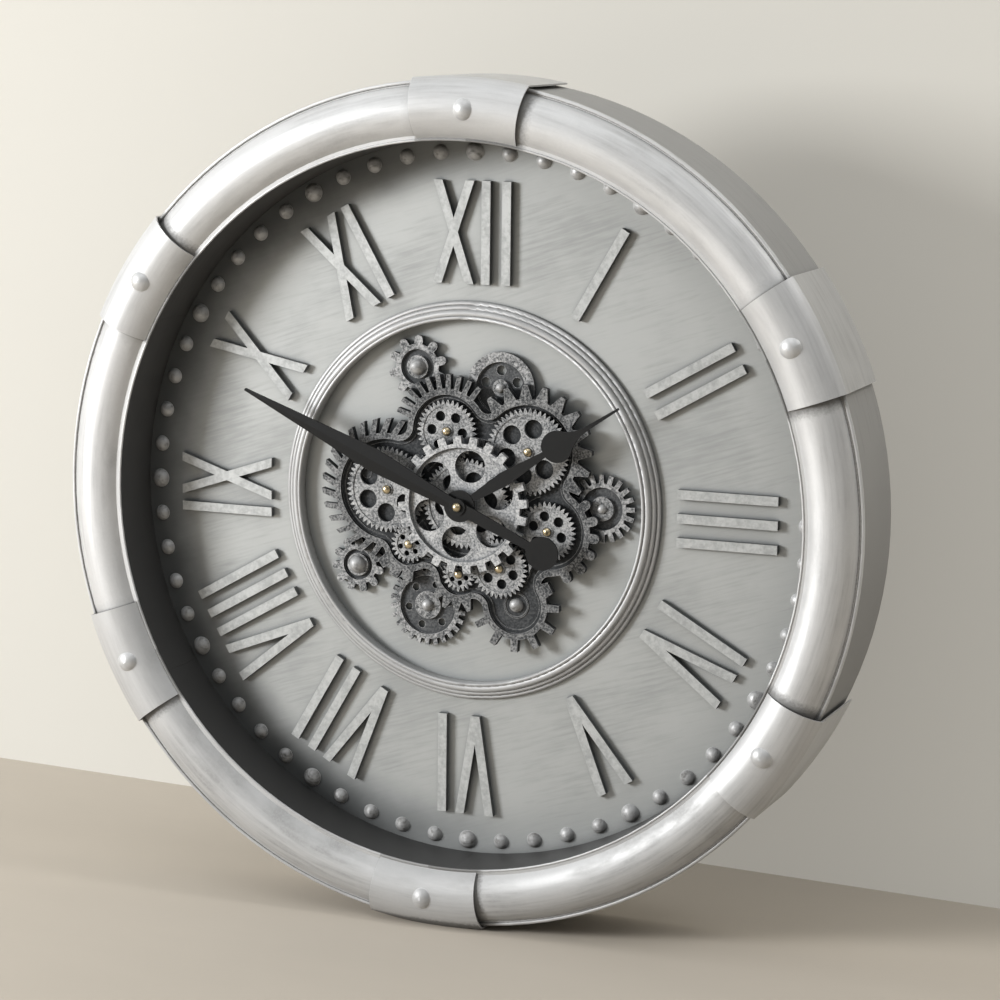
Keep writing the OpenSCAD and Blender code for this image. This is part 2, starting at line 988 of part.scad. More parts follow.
module hand_nut() {
    color("Goldenrod") face() difference() {
        union() {
            translate([0, 0, minute_z + 2.6])
                disc(3.2, 1);
            translate([0, 0, minute_z + 3.6])
                dome(3.2, 2.2);
        }
        translate([0, 0, minute_z])
            disc(1.72, 4.42);
    }
}

// ---- movement and drive, behind the disc ----

module movement_case() {
    zb = disc_z - plate_t - 0.1 - move_d;
    color("DarkSlateGray") face() difference() {
        union() {
            translate([0, 0, zb])
                linear_extrude(move_d)
                    rounded(move_w, move_w, 4);
            translate([0, 0, zb + move_d - 1])
                disc(4, front_top + 2 - zb - move_d + 1);
        }
        translate([0, 0, zb + 3])
            disc(2.65, 80);
        translate([-25.8, -24.5, zb - 1])
            cube([51.6, 15, 15.4]);
        translate([10, 14, zb - 1])
            disc(2.05, 8);
    }
}

module stem_nut() {
    color("Goldenrod") face() difference() {
        translate([0, 0, front_top + 0.35])
            cylinder(r = 7, h = 1.7, $fn = 6);
        disc(4.02, 80);
    }
}

module set_knob() {
    zb = disc_z - plate_t - 0.1 - move_d;
    color("DarkSlateGray") face() translate([10, 14, 0]) {
        translate([0, 0, zb - 4])
            linear_extrude(3.6)
                difference() {
                    circle(r = 8);
                    for (k = [0:23])
                        rotate(15 * k)
                            translate([8.3, 0])
                                circle(r = 0.7, $fn = 16);
                }
        translate([0, 0, zb - 1])
            disc(2, 6);
    }
}

module aa_cell() {
    rotate([0, 90, 0]) {
        translate([0, 0, -25])
            disc(7.1, 49.2);
        translate([0, 0, 24])
            disc(2.7, 1.2);
    }
}

module aa_cells() {
    zb = disc_z - plate_t - 0.1 - move_d;
    color("DarkOrange") face() {
        translate([0, -17, zb + 7.2])
            aa_cell();
        for (s = [-1, 1])
            translate([box_x, s * 7.8, 10])
                aa_cell();
    }
}

module motor_screw_places() {
    for (s = [-1, 1])
        translate([left_c[0] + s * 15.5, left_c[1], 0])
            children();
}

module gear_motor() {
    zt = disc_z - plate_t - 0.1;
    color("Silver") face() difference() {
        union() {
            placed(left_c) {
                translate([0, 0, zt - 19])
                    disc(12, 19);
                translate([0, 0, zt - 23])
                    disc(10, 5);
                translate([0, 0, zt - 1.2])
                    linear_extrude(1.2)
                        rounded(38, 10, 4.9);
            }
        }
        motor_screw_places()
            disc(1.6, 60);
        placed(left_c)
            translate([0, 0, zt - 14])
                disc(2.05, 60);
    }
}

module motor_shaft() {
    color("Goldenrod") face() placed(left_c) {
        translate([0, 0, 18])
            disc(2, post_z - 17.5);
        translate([0, 0, post_z - 0.35])
            disc(3, 1.15);
        translate([0, 0, post_z + 0.8])
            dome(3, 1.5);
    }
}

// straight run of wire, then whatever follows it
module lead_run(len) {
    rotate([0, 90, 0])
        disc(lead_r, len);
    translate([len, 0, 0])
        children();
}

// quarter bend of wire to the left (side 1) or the right (side -1)
module lead_bend(side) {
    translate([0, side * lead_bend_r, 0])
        rotate(side > 0 ? -90 : 0)
            rotate_extrude(angle = 90)
                translate([lead_bend_r, 0])
                    circle(r = lead_r, $fn = 24);
    translate([lead_bend_r, side * lead_bend_r, 0])
        rotate(90 * side)
            children();
}

// lead from the battery box to the motor: start height, clear run, fall, end offset
module lead(y, out, fall, x_end) {
    y_low = y - fall - 2 * lead_bend_r;
    x_low = box_x - 34.1 - out - 2 * lead_bend_r;
    y_end = left_c[1] - sqrt(100 - x_end * x_end) - 0.1;
    translate([box_x - 34.1, y, lead_z])
        rotate(180)
            lead_run(out) lead_bend(1)
                lead_run(fall) lead_bend(-1)
                    lead_run(x_low - left_c[0] - x_end - lead_bend_r) lead_bend(-1)
                        lead_run(y_end - y_low - lead_bend_r);
}

module motor_leads() {
    color("Firebrick") face() {
        lead(-8, 8, 26, 4);
        lead(-12, 4, 26, -4);
    }
}

// ---- back ----

module back_panel() {
    color("Black") face() difference() {
        translate([0, 0, 1.4])
            disc(drum_r - sheet - 0.4, 2.7);
        translate([0, 0, -1])
            linear_extrude(20) {
                rounded(80, 80, 6);
                translate([box_x, 0])
                    rounded(69, 37, 2);
                translate([0, key_up + 3])
                    rounded(24, 36, 5);
            }
        panel_screw_places()
            disc(1.7, 20);
        for (x = [-1, 1], y = [-1, 1])
            translate([x * 17, key_up + 3 + y * 16, 0])
                disc(1.7, 20);
    }
}

module battery_box() {
    color("Black") face() translate([box_x, 0, 0]) difference() {
        union() {
            translate([0, 0, 0.4])
                linear_extrude(1)
                    rounded(84, 44, 3);
            translate([0, 0, 0.4])
                linear_extrude(18.6)
                    rounded(68, 36, 2);
        }
        translate([-25.8, -15.2, -1])
            cube([51.6, 30.4, 18.4]);
        translate([27.4, -9, 2.2])
            cube([5.2, 18, 12]);
        translate([28.2, -6, -1])
            cube([3.6, 12, 5]);
    }
}

// slider of the switch that stops and starts the gears
module power_switch() {
    color("Red") face() translate([box_x + 30, -3.5, 0]) {
        translate([-2.2, -3.2, 2.6])
            cube([4.4, 6.4, 3]);
        translate([-1.4, -1.6, 0.3])
            cube([2.8, 3.2, 3]);
    }
}

module hanger_plate() {
    color("Silver") face() translate([0, key_up, 4.2]) difference() {
        translate([0, 3, 0])
            linear_extrude(1.5)
                rounded(44, 42, 4);
        translate([0, 0, -1])
            disc(key_r, 4);
        translate([-2.5, 0, -1])
            cube([5, 11, 4]);
        translate([0, 11, -1])
            disc(2.5, 4);
        for (x = [-1, 1], y = [-1, 1])
            translate([x * 17, 3 + y * 16, -1])
                disc(1.7, 4);
    }
}

module pan_screw(len) {
    disc(3, 1.3);
    disc(1.55, len);
}

module panel_screws() {
    color("Silver") face() {
        panel_screw_places()
            translate([0, 0, 0.1])
                pan_screw(7);
        for (x = [-1, 1], y = [-1, 1])
            translate([x * 17, key_up + 3 + y * 16, 0.1])
                pan_screw(8);
        motor_screw_places()
            translate([0, 0, disc_z - plate_t - 2.6])
                pan_screw(4.6);
    }
}

case_drum();
bezel_tube();
inner_wall();
strap(12);  // strap_12
strap(2);  // strap_2
strap(4);  // strap_4
strap(6);  // strap_6
strap(8);  // strap_8
strap(10);  // strap_10
strap_rivets();
dial_plate();
hour_rivets();
minute_rivets();
numeral_1();
numeral_2();
numeral_3();
numeral_4();
numeral_5();
numeral_6();
numeral_7();
numeral_8();
numeral_9();
numeral_10();
numeral_11();
numeral_12();
inner_ring();
backdrop_disc();
gear_bed();
star_gear();
hoop_ring();
comb_gear();
cog_gear();
dish_gear();
dome_rivets();
gear_posts();
front_wheel();
drive_wheel();
top_gear();
upper_right_gear();
left_gear();
right_gear();
lower_right_gear();
bottom_pinion();
lower_left_pinion();
idler_gear();
motor_shaft();
gear_motor();
movement_case();
stem_nut();
hour_hand();
minute_hand();
hand_nut();
set_knob();
aa_cells();
back_panel();
battery_box();
motor_leads();
power_switch();
hanger_plate();
panel_screws();
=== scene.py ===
"""Looks of the moving-gear wall clock: worn silver leaf, brushed dial, cast gears, black hands."""
import math

import bpy
from mathutils import Matrix, Vector


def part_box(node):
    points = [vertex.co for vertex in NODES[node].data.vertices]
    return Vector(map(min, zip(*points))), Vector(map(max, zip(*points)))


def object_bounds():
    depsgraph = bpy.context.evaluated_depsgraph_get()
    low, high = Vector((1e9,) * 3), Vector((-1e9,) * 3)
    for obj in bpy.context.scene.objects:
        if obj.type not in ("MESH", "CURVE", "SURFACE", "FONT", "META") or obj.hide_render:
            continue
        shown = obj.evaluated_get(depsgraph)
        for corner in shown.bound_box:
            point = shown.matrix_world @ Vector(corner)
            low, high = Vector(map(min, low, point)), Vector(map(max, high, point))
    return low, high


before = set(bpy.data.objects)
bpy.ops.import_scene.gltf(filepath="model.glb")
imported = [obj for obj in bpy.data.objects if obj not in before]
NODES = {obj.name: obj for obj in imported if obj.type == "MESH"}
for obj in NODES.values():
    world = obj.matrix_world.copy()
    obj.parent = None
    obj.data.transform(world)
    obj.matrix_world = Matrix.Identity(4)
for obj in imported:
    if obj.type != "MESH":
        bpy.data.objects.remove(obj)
cad_lo, cad_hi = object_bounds()

# ---------- places that the camera, floor and materials share, from the frame ----------
DIAL_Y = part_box("dial_plate")[0].y
FLOOR_Z = cad_lo.z
strap_lo, strap_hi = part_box("strap_12")
# degrees clockwise from 12 o'clock to the middle of the top strap, and half of what it covers
STRAP_TURN = math.degrees(math.atan2((strap_lo.x + strap_hi.x) / 2, strap_hi.z))
STRAP_HALF = math.degrees(math.asin((strap_hi.x - strap_lo.x) / 2 / strap_hi.z))
STRAP_STEP = 60.0

# ---------- camera, at the photograph's angle ----------
CAMERA_PLACE = Vector((0.81872, DIAL_Y - 2.01964, 0.36309))
CAMERA_RIGHT = Vector((0.92944, 0.36878, 0.01204))
CAMERA_UP = Vector((-0.07143, 0.14784, 0.98643))
CAMERA_LENS, CAMERA_SENSOR = 110.964, 36.0
CAMERA_NEAR, CAMERA_FAR = 0.1, 60.0


def make_camera():
    back = CAMERA_RIGHT.cross(CAMERA_UP).normalized()
    up = back.cross(CAMERA_RIGHT).normalized()
    data = bpy.data.cameras.new("camera")
    data.lens = CAMERA_LENS
    data.sensor_width = CAMERA_SENSOR
    data.clip_start, data.clip_end = CAMERA_NEAR, CAMERA_FAR
    cam = bpy.data.objects.new("camera", data)
    placed = Matrix((CAMERA_RIGHT, up, back)).transposed().to_4x4()
    placed.translation = CAMERA_PLACE
    cam.matrix_world = placed
    bpy.context.scene.collection.objects.link(cam)
    bpy.context.scene.camera = cam


make_camera()

# ---------- node helpers ----------
CREVICE_SAMPLES, EDGE_SAMPLES = 8, 6
# streaks round the hands' axis: how many to a metre across them, and how long they run
STREAK_ACROSS, STREAK_ALONG = 300.0, 7.0


def colour_value(value):
    """A node socket as it is, or a plain colour with its alpha added."""
    return value if isinstance(value, bpy.types.NodeSocket) else (*value, 1.0)


class Mat:
    """A material, with one short call for each kind of node."""

    def __init__(self, name):
        self.m = bpy.data.materials.new(name)
        self.m.use_nodes = True
        self.nt = self.m.node_tree
        self.bsdf = next(n for n in self.nt.nodes if n.type == "BSDF_PRINCIPLED")
        self.geo = self.nt.nodes.new("ShaderNodeNewGeometry")
        self.coord = self.nt.nodes.new("ShaderNodeTexCoord")

    def put(self, socket, value):
        if isinstance(value, bpy.types.NodeSocket):
            self.nt.links.new(value, socket)
        else:
            socket.default_value = value

    def put_all(self, node, values):
        for socket, value in zip(node.inputs, values):
            self.put(socket, value)
        return node.outputs[0]

    def math(self, operation, a, b=0.0, c=0.0):
        n = self.nt.nodes.new("ShaderNodeMath")
        n.operation = operation
        return self.put_all(n, (a, b, c))

    def add(self, a, b):
        return self.math("ADD", a, b)

    def sub(self, a, b):
        return self.math("SUBTRACT", a, b)

    def mul(self, a, b):
        return self.math("MULTIPLY", a, b)

    def most(self, a, b):
        return self.math("MAXIMUM", a, b)

    def blend(self, a, a_share, b, b_share):
        """Two values added in their shares."""
        return self.add(self.mul(a, a_share), self.mul(b, b_share))

    def swing(self, noise, amount):
        """Noise about zero instead of about a half."""
        return self.mul(self.sub(noise, 0.5), amount)

    def remap(self, value, lo, hi, out_lo=0.0, out_hi=1.0):
        n = self.nt.nodes.new("ShaderNodeMapRange")
        n.interpolation_type = "SMOOTHSTEP"
        return self.put_all(n, (value, lo, hi, out_lo, out_hi))

    def where(self):
        """Object position, in metres."""
        return self.coord.outputs["Object"]

    def parts(self, vector):
        n = self.nt.nodes.new("ShaderNodeSeparateXYZ")
        self.put(n.inputs[0], vector)
        return n.outputs

    def join(self, x, y, z):
        return self.put_all(self.nt.nodes.new("ShaderNodeCombineXYZ"), (x, y, z))

    def radius(self):
        """Distance from the hands' axis."""
        x, _, z = self.parts(self.where())
        return self.math("SQRT", self.add(self.mul(x, x), self.mul(z, z)))

    def noise(self, vector, scale, detail=3.0, rough=0.55):
        n = self.nt.nodes.new("ShaderNodeTexNoise")
        self.put(n.inputs["Vector"], vector)
        n.inputs["Scale"].default_value = scale
        n.inputs["Detail"].default_value = detail
        n.inputs["Roughness"].default_value = rough
        return n.outputs["Fac"]

    def streaks(self, rough):
        """Noise drawn out round the hands' axis."""
        x, y, z = self.parts(self.where())
        r = self.radius()
        at = self.join(self.mul(self.math("DIVIDE", x, r), STREAK_ALONG),
                       self.blend(r, STREAK_ACROSS, y, STREAK_ACROSS),
                       self.mul(self.math("DIVIDE", z, r), STREAK_ALONG))
        return self.noise(at, 1.0, detail=4.0, rough=rough)

    def mix(self, fac, a, b):
        n = self.nt.nodes.new("ShaderNodeMix")
        n.data_type = "RGBA"
        self.put(n.inputs["Factor"], fac)
        self.put(n.inputs["A"], colour_value(a))
        self.put(n.inputs["B"], colour_value(b))
        return n.outputs["Result"]

    def crevice(self, reach):
        """0 in the open and 1 deep in a crease."""
        n = self.nt.nodes.new("ShaderNodeAmbientOcclusion")
        n.samples = CREVICE_SAMPLES
        n.inputs["Distance"].default_value = reach
        return self.sub(1.0, n.outputs["AO"])

    def edge(self, radius, low=0.02, high=0.25):
        """1 on a worn edge: where a rounded normal leaves the true one."""
        rounded = self.nt.nodes.new("ShaderNodeBevel")
        rounded.samples = EDGE_SAMPLES
        rounded.inputs["Radius"].default_value = radius
        dot = self.nt.nodes.new("ShaderNodeVectorMath")
        dot.operation = "DOT_PRODUCT"
        self.put(dot.inputs[0], rounded.outputs[0])
        self.put(dot.inputs[1], self.geo.outputs["Normal"])
        return self.remap(self.sub(1.0, dot.outputs["Value"]), low, high)

    def bump(self, height, strength, distance):
        n = self.nt.nodes.new("ShaderNodeBump")
        n.inputs["Strength"].default_value = strength
        n.inputs["Distance"].default_value = distance
        self.put(n.inputs["Height"], height)
        self.put(self.bsdf.inputs["Normal"], n.outputs[0])

    def gloss(self, level):
        self.bsdf.inputs["Specular IOR Level"].default_value = level

    def finish(self, colour, roughness, metallic):
        self.put(self.bsdf.inputs["Base Color"], colour)
        self.put(self.bsdf.inputs["Roughness"], roughness)
        self.put(self.bsdf.inputs["Metallic"], metallic)
        return self.m


def grey(v, warm=0.0):
    """A grey, a little redder and less blue by warm."""
    return (v * (1 + warm), v, v * (1 - warm * 1.6))


def shades(base, darker, paler):
    """The same colour twice: times darker and times paler."""
    return tuple(c * darker for c in base), tuple(c * paler for c in base)


# ---------- materials: noise scales are per metre, other sizes in metres ----------
# heights from the hands' axis over which painted shade darkens leaf and drum towards the bottom,
# and the dial's radii for its dark rim of glazing and painted shadow
LEAF_SHADE_HEIGHTS, DRUM_SHADE_HEIGHTS = (-0.02, -0.28), (0.12, -0.12)
DIAL_RIM_RADII = (0.222, 0.268)
# sideways places on the rim, as a share of its radius, over which painted shadow grows from its lit
# right to its shaded left
RIM_LIT_TO_SHADOWED = (0.30, -0.45)
# degrees past a strap's end over which the wide stain of glazing and painted shadow and the thin
# line of painted shade fade
WIDE_STAIN_AND_SHADOW, THIN_SHADE_LINE = (0.1, 2.3), (0.05, 0.45)
# how rough old glaze is, and how metallic leaf and dial are when clean and when glazed
GLAZE_ROUGH = 0.66
LEAF_METAL, DIAL_METAL = (0.36, 0.12), (0.45, 0.15)
BARE_LEAF = grey(0.74, 0.002)


def strap_grime_and_shadow(m, noise):
    """Dark glazing beside each strap, with painted shadow on the right of it and a thin line of
    painted shade at its ends.
    """
    x, _, z = m.parts(m.where())
    turn = m.mul(m.math("ARCTAN2", x, z), 180.0 / math.pi)
    off = m.sub(turn, STRAP_TURN - STRAP_STEP / 2)
    off = m.sub(m.math("FLOORED_MODULO", off, STRAP_STEP), STRAP_STEP / 2)
    past = m.sub(m.math("ABSOLUTE", off), STRAP_HALF)
    ragged = m.add(past, m.swing(noise, 1.3))
    # painted shadow: more on the right of each strap
    right = m.remap(m.mul(m.math("SIGN", off), m.math("SIGN", z)), -1.0, 1.0)
    amount = m.math("MULTIPLY_ADD", right, 0.62, 0.18)
    wide_stain_and_shadow = m.mul(m.remap(ragged, *WIDE_STAIN_AND_SHADOW, 1.0, 0.0), amount)
    # painted shade: a thin dark line just past each strap's end
    thin_shade_line = m.remap(past, *THIN_SHADE_LINE, 0.6, 0.0)
    return m.most(wide_stain_and_shadow, thin_shade_line)


def silver_leaf(name, light=0.61, dark=0.075, wear=0.36, rough=0.44, blotch=16.0, straps=False):
    """Leaf brushed round the case, dark glazing left in its creases and streaks, and painted shade
    darkening it low down.
    """
    m = Mat(name)
    streaks = m.streaks(rough=0.58)
    broad = m.noise(m.where(), blotch, detail=4.0, rough=0.55)
    fine = m.noise(m.where(), 520.0, detail=3.0, rough=0.65)
    glaze_and_low_shade = m.remap(m.blend(streaks, 0.55, broad, 0.55), 0.46, 0.80)
    glaze_and_low_shade = m.mul(glaze_and_low_shade, m.mul(m.remap(fine, 0.3, 0.6, 0.6, 1.0), wear))
    height = m.parts(m.where())[2]
    # painted shade: darker towards the bottom of the case
    glaze_and_low_shade = m.add(glaze_and_low_shade, m.remap(height, *LEAF_SHADE_HEIGHTS, 0.0, 0.26))
    crease = m.remap(m.add(m.crevice(0.010), m.swing(fine, 0.45)), 0.20, 0.62)
    dirt_and_shade = m.most(glaze_and_low_shade, m.mul(crease, 0.9))
    if straps:
        dirt_and_shade = m.most(dirt_and_shade, strap_grime_and_shadow(m, fine))
    leaf = m.mix(fine, grey(light * 0.92, 0.002), grey(light * 1.04, 0.002))
    colour = m.mix(dirt_and_shade, leaf, grey(dark, 0.05))
    ridge = m.mul(m.edge(0.0009), m.remap(broad, 0.4, 0.6, 0.2, 0.7))
    colour = m.mix(ridge, colour, BARE_LEAF)
    m.bump(m.blend(streaks, 0.5, fine, 0.4), strength=0.22, distance=0.0003)
    return m.finish(colour, m.remap(dirt_and_shade, 0.0, 0.8, rough, GLAZE_ROUGH),
                    m.remap(dirt_and_shade, 0.0, 0.9, *LEAF_METAL))


def brushed_dial(name, light, dark, to_edge=True):
    """Cool silver brushed in long slanting strokes, dark glazing round the rim, and painted shadow
    over the rim, heaviest on the left.
    """
    m = Mat(name)
    x, _, z = m.parts(m.where())
    along = m.blend(x, 26.0, z, 9.0)
    across = m.sub(m.mul(z, 420.0), m.mul(x, 140.0))
    strokes = m.noise(m.join(along, 0.0, across), 1.0, detail=5.0, rough=0.6)
    clouds = m.noise(m.where(), 13.0, detail=4.0, rough=0.55)
    fine = m.noise(m.where(), 600.0, detail=2.0, rough=0.6)
    stain = m.remap(m.blend(strokes, 0.55, clouds, 0.6), 0.46, 0.78)
    rim_glaze_and_shadow = 0.0
    if to_edge:
        r = m.radius()
        # painted shadow on the rim, heavier towards the left
        shadow_to_left = m.remap(m.math("DIVIDE", x, r), *RIM_LIT_TO_SHADOWED, 0.22, 0.93)
        rim_glaze_and_shadow = m.mul(m.remap(m.add(r, m.mul(clouds, 0.03)), *DIAL_RIM_RADII), shadow_to_left)
    dirt_and_shade = m.most(m.mul(stain, 0.34), rim_glaze_and_shadow)
    dirt_and_shade = m.most(dirt_and_shade, m.mul(m.remap(m.crevice(0.016), 0.12, 0.7), 0.85))
    silver = m.mix(strokes, (light * 0.86, light * 0.88, light * 0.87),
                   (light * 1.06, light * 1.08, light * 1.06))
    colour = m.mix(dirt_and_shade, silver, (dark * 0.93, dark, dark * 1.02))
    m.bump(m.blend(strokes, 0.6, fine, 0.4), strength=0.25, distance=0.0003)
    return m.finish(colour, m.remap(dirt_and_shade, 0.0, 0.8, 0.46, GLAZE_ROUGH),
                    m.remap(dirt_and_shade, 0.0, 0.9, *DIAL_METAL))


def dry_brushed(name, light, dark, cover, edge_r, tint=0.0, low=0.0, top=0.001):
    """Dark blue-grey casting with silver dragged over its high places.

    The silver comes in between the heights low and top above the dial; cover is how much of it.
    """
    m = Mat(name)
    speckle = m.noise(m.where(), 600.0, detail=4.0, rough=0.72)
    patches = m.noise(m.where(), 72.0, detail=3.0, rough=0.55)
    above = m.sub(DIAL_Y, m.parts(m.where())[1])
    raised = m.remap(above, low, top, 0.22, 1.0)
    high = m.remap(m.add(speckle, m.swing(patches, 0.35)),
                   0.52 - cover * 0.34, 0.88 - cover * 0.30)
    high = m.mul(m.mul(high, raised), m.remap(m.crevice(0.008), 0.05, 0.6, 1.0, 0.06))
    worn = m.mul(m.edge(edge_r, 0.01, 0.22), m.remap(speckle, 0.30, 0.55, 0.35, 1.0))
    high = m.most(high, worn)
    colour = m.mix(high, (dark * (0.93 - tint), dark, dark * (1.08 + tint)), grey(light))
    m.bump(m.blend(speckle, 0.7, patches, 0.4), strength=0.4, distance=0.0003)
    m.gloss(0.3)
    return m.finish(colour, m.remap(high, 0.0, 1.0, 0.66, 0.5), m.remap(high, 0.0, 1.0, 0.15, 0.45))


def numeral_metal(name):
    """Silver tops over dark sides, a little rough."""
    m = Mat(name)
    speckle = m.noise(m.where(), 300.0, detail=4.0, rough=0.7)
    x, _, z = m.parts(m.where())
    patches = m.noise(m.join(m.mul(x, 60.0), 0.0, m.mul(z, 60.0)), 1.0, detail=4.0, rough=0.6)
    facing = m.mul(m.parts(m.geo.outputs["Normal"])[1], -1.0)
    cover = m.remap(m.blend(speckle, 0.5, patches, 0.4), 0.32, 0.55, 0.6, 1.0)
    high = m.mul(m.remap(facing, 0.25, 0.9), cover)
    high = m.most(high, m.mul(m.edge(0.0008, 0.01, 0.2), 0.9))
    high = m.mul(high, m.sub(1.0, m.mul(m.crevice(0.006), 0.8)))
    colour = m.mix(high, (0.11, 0.115, 0.115), (0.50, 0.508, 0.502))
    m.bump(m.blend(speckle, 0.8, patches, 0.4), strength=0.4, distance=0.0004)
    return m.finish(colour, 0.52, m.remap(high, 0.0, 1.0, 0.2, 0.5))


def drum_paint(name, light, dark):
    """Matt grey paint with faint rolling marks along the drum, and painted shade darkening it low
    down.
    """
    m = Mat(name)
    streaks = m.streaks(rough=0.6)
    clouds = m.noise(m.where(), 14.0, detail=4.0, rough=0.6)
    fine = m.noise(m.where(), 900.0, detail=2.0, rough=0.6)
    marks = m.remap(m.blend(streaks, 0.6, clouds, 0.5), 0.5, 0.85, 0.0, 0.5)
    dirt_and_shade = m.most(marks, m.mul(m.remap(m.crevice(0.010), 0.1, 0.7), 0.8))
    height = m.parts(m.where())[2]
    # painted shade: darker towards the bottom of the drum
    dirt_and_shade = m.most(dirt_and_shade, m.remap(height, *DRUM_SHADE_HEIGHTS, 0.0, 0.6))
    paint = m.mix(clouds, grey(light * 0.9, 0.012), grey(light * 1.08, 0.012))
    m.bump(m.add(fine, m.mul(streaks, 0.5)), strength=0.2, distance=0.0003)
    return m.finish(m.mix(dirt_and_shade, paint, grey(dark, 0.02)), 0.58, 0.25)


def black_paint(name):
    """Matt black enamel with a fine orange-peel and slightly greyed edges."""
    m = Mat(name)
    peel = m.noise(m.where(), 700.0, detail=3.0, rough=0.6)
    clouds = m.noise(m.where(), 60.0, detail=3.0, rough=0.55)
    worn = m.mul(m.edge(0.0005, 0.02, 0.3), m.remap(peel, 0.4, 0.65, 0.1, 0.5))
    colour = m.mix(worn, m.mix(clouds, grey(0.004), grey(0.008)), grey(0.09))
    m.bump(peel, strength=0.25, distance=0.0002)
    m.gloss(0.25)
    return m.finish(colour, m.remap(clouds, 0.3, 0.7, 0.52, 0.66), 0.0)


def brass(name):
    """Rosy brass, tarnished in the creases."""
    m = Mat(name)
    fine = m.noise(m.where(), 900.0, detail=3.0, rough=0.6)
    clouds = m.noise(m.where(), 160.0, detail=2.0, rough=0.5)
    tarnish = m.mul(m.remap(m.crevice(0.004), 0.1, 0.7), 0.85)
    colour = m.mix(clouds, (0.56, 0.45, 0.27), (0.68, 0.58, 0.40))
    colour = m.mix(tarnish, colour, (0.10, 0.07, 0.04))
    m.bump(fine, strength=0.2, distance=0.0001)
    return m.finish(colour, m.remap(fine, 0.3, 0.7, 0.24, 0.40), 1.0)


def zinc(name):
    """Zinc-plated steel with faint spangle."""
    m = Mat(name)
    spangle = m.nt.nodes.new("ShaderNodeTexVoronoi")
    m.put(spangle.inputs["Vector"], m.where())
    spangle.inputs["Scale"].default_value = 260.0
    tone = m.parts(spangle.outputs["Color"])[0]
    fine = m.noise(m.where(), 800.0, detail=2.0, rough=0.6)
    grime = m.mul(m.remap(m.crevice(0.004), 0.1, 0.8), 0.7)
    colour = m.mix(grime, m.mix(tone, grey(0.50), grey(0.66)), grey(0.08))
    m.bump(fine, strength=0.15, distance=0.0001)
    return m.finish(colour, m.remap(tone, 0.0, 1.0, 0.28, 0.42), 0.95)


def moulded(name, base, rough=0.5):
    """Moulded plastic with a spark-eroded grain."""
    m = Mat(name)
    grain = m.noise(m.where(), 1400.0, detail=3.0, rough=0.6)
    clouds = m.noise(m.where(), 40.0, detail=2.0, rough=0.5)
    worn = m.mul(m.edge(0.0004, 0.02, 0.3), 0.5)
    shaded = tuple(c * 0.82 for c in base)
    pale = tuple(min(1.0, c * 1.5 + 0.02) for c in base)
    colour = m.mix(worn, m.mix(clouds, shaded, base), pale)
    m.bump(grain, strength=0.3, distance=0.0001)
    return m.finish(colour, m.remap(grain, 0.3, 0.7, rough - 0.06, rough + 0.08), 0.0)


def hardboard(name):
    """Black-faced hardboard: fibres pressed flat."""
    m = Mat(name)
    x, y, z = m.parts(m.where())
    fibre = m.noise(m.join(m.mul(x, 1400.0), y, m.mul(z, 260.0)), 1.0, detail=4.0, rough=0.65)
    clouds = m.noise(m.where(), 18.0, detail=4.0, rough=0.6)
    worn = m.mul(m.edge(0.0008, 0.02, 0.3), 0.6)
    colour = m.mix(m.mul(fibre, clouds), (0.022, 0.021, 0.020), (0.090, 0.082, 0.070))
    colour = m.mix(worn, colour, (0.20, 0.15, 0.10))
    m.bump(fibre, strength=0.35, distance=0.0003)
    return m.finish(colour, m.remap(clouds, 0.3, 0.7, 0.55, 0.72), 0.0)


LEAF = silver_leaf("silver_leaf", straps=True)
STRAP = silver_leaf("strap_leaf", light=0.58, wear=0.26, rough=0.42)
RING = silver_leaf("ring_leaf", light=0.50, dark=0.08, wear=0.34, rough=0.50)
RIVET = silver_leaf("rivet_leaf", light=0.46, dark=0.08, wear=1.0, rough=0.46, blotch=190.0)
DIAL = brushed_dial("dial_brushed", light=0.46, dark=0.045)
DISC = brushed_dial("disc_brushed", light=0.44, dark=0.16, to_edge=False)
NUMERAL = numeral_metal("numeral_cast")
DRUM = drum_paint("drum_paint", light=0.36, dark=0.17)
WALL = drum_paint("inner_wall_paint", light=0.085, dark=0.035)
BED = dry_brushed("bed_cast", light=0.33, dark=0.024, cover=0.48, edge_r=0.0010, tint=0.03,
                  low=0.0076, top=0.0103)
FIXED = dry_brushed("fixed_cast", light=0.48, dark=0.040, cover=0.60, edge_r=0.0008,
                    low=0.0022, top=0.0042)
GEAR = dry_brushed("gear_cast", light=0.50, dark=0.060, cover=0.64, edge_r=0.0005)
FRONT = dry_brushed("front_cast", light=0.58, dark=0.10, cover=0.70, edge_r=0.0007)
BLACK = black_paint("hand_black")
BRASS = brass("brass")
ZINC = zinc("zinc")
PLASTIC = moulded("black_plastic", (0.022, 0.022, 0.024))
SWITCH = moulded("switch_red", (0.42, 0.03, 0.025), rough=0.4)
CELL = moulded("cell_sleeve", (0.55, 0.24, 0.05), rough=0.32)
LEAD = moulded("lead_jacket", (0.34, 0.03, 0.025), rough=0.45)
BOARD = hardboard("hardboard")

